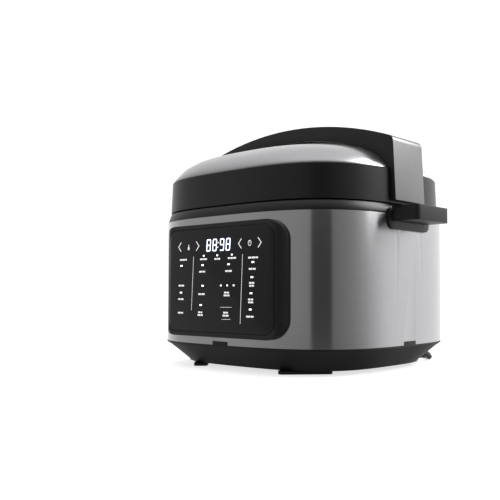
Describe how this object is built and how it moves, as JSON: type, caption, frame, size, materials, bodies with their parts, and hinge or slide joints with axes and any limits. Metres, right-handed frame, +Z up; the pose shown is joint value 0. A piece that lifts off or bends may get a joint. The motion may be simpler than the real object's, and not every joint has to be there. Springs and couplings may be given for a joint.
{
  "type": "electric pressure cooker",
  "caption": "Countertop electric pressure cooker with steel wrap, front touch panel, twist-lock domed lid with arched carrying handle, side grips, lift-out pot and rear drip cup.",
  "frame": {"origin": "on the floor, under the middle of the cooker's bounding box without its cord", "axes": "+Z up along the pot's axis, -Y towards the control panel, X from side handle to side handle"},
  "size_m": [0.35, 0.3862, 0.266],
  "materials": {
    "black_plastic": "fine matt moulded plastic",
    "dark_plastic": "satin moulded plastic",
    "pale_plastic": "natural nylon",
    "smoke_plastic": "smoke-grey moulded plastic",
    "rubber": "matt rubber",
    "silicone": "translucent white silicone",
    "steel_screws": "zinc-plated steel",
    "spring_steel": "spring steel",
    "brushed_steel": "brushed stainless steel",
    "pressed_steel": "pressed stainless steel",
    "pot_steel": "satin stainless steel",
    "aluminium_sheet": "deep-drawn aluminium",
    "cast_aluminium": "machined cast aluminium",
    "black_glass": "glossy black touch panel",
    "board": "green laminate",
    "display": "lit segment display",
    "cord_jacket": "black cord jacket"
  },
  "bodies": {
    "cooker": {"base_tray": "black_plastic", "feet": "rubber", "base_screws": "steel_screws", "body_wrap": "brushed_steel", "top_rim": "dark_plastic", "lock_ring": "pressed_steel", "outer_pot": "aluminium_sheet", "heating_plate": "cast_aluminium", "plate_pillars": "steel_screws", "thermostat_cup": "pressed_steel", "thermostat_spring": "spring_steel", "panel_bezel": "dark_plastic", "panel_glass": "black_glass", "control_board": "board", "display_module": "display", "power_board": "board", "board_posts": "pale_plastic", "board_parts": "black_plastic", "handle_left": "black_plastic", "handle_right": "black_plastic", "handle_screws": "steel_screws", "cup_bracket": "black_plastic", "cord_gland": "black_plastic", "strain_relief": "rubber", "cord_lead": "cord_jacket", "cord_coil": "cord_jacket", "cord_tail": "cord_jacket", "plug_body": "cord_jacket", "plug_pins": "steel_screws"},
    "pot": {"inner_pot": "pot_steel"},
    "seal": {"sealing_ring": "silicone"},
    "lid": {"lid_band": "black_plastic", "lid_dome": "brushed_steel", "lid_under_cover": "black_plastic", "valve_tray": "black_plastic", "lid_handle": "black_plastic", "lid_handle_under": "black_plastic", "lid_handle_screws": "steel_screws", "lid_liner": "pressed_steel", "liner_screws": "steel_screws", "seal_rack": "pressed_steel", "steam_pipe": "pressed_steel", "pipe_nut": "steel_screws", "valve_shield": "pressed_steel", "release_spring": "spring_steel", "lever_pin": "steel_screws"},
    "thermostat": {"thermostat_button": "cast_aluminium"},
    "cup": {"drip_cup": "smoke_plastic"},
    "valve": {"steam_valve": "dark_plastic"},
    "button": {"release_button": "dark_plastic"},
    "lever": {"release_lever": "dark_plastic"},
    "float": {"float_pin": "pressed_steel", "float_cap": "silicone"}
  },
  "joints": [
    {"name": "pot_lift", "type": "slide", "parent": "cooker", "child": "pot", "axis": [0, 0, 1], "range_m": [0, 0.16]},
    {"name": "lid_lift", "type": "slide", "parent": "pot", "child": "seal", "axis": [0, 0, 1], "range_m": [0, 0.12]},
    {"name": "lid_turn", "type": "hinge", "parent": "seal", "child": "lid", "pos_m": [0, -0.0093, 0.1715], "axis": [0, 0, 1], "range_deg": [0, 30]},
    {"name": "thermostat_press", "type": "slide", "parent": "cooker", "child": "thermostat", "axis": [0, 0, -1], "range_m": [0, 0.003], "stiffness_N_per_m": 400, "deforming": ["thermostat_spring"]},
    {"name": "cup_slide", "type": "slide", "parent": "cooker", "child": "cup", "axis": [0, 1, 0], "range_m": [0, 0.06]},
    {"name": "release_press", "type": "slide", "parent": "lid", "child": "button", "axis": [0, 0, -1], "range_m": [0, 0.003], "stiffness_N_per_m": 400, "deforming": ["release_spring"]},
    {"name": "release_rock", "type": "hinge", "parent": "lid", "child": "lever", "pos_m": [0.05219, 0.01025, 0.2076], "axis": [1, 0, 0], "range_deg": [0, 3.2]},
    {"name": "valve_rise", "type": "slide", "parent": "lid", "child": "valve", "axis": [0, 0, 1], "range_m": [0, 0.0016]},
    {"name": "float_rise", "type": "slide", "parent": "lid", "child": "float", "axis": [0, 0, 1], "range_m": [0, 0.005]}
  ],
  "couplings": [
    {"joint": "release_rock", "follows": "release_press", "rad_per_m": 17.489},
    {"joint": "valve_rise", "follows": "release_press", "ratio": 0.5}
  ]
}
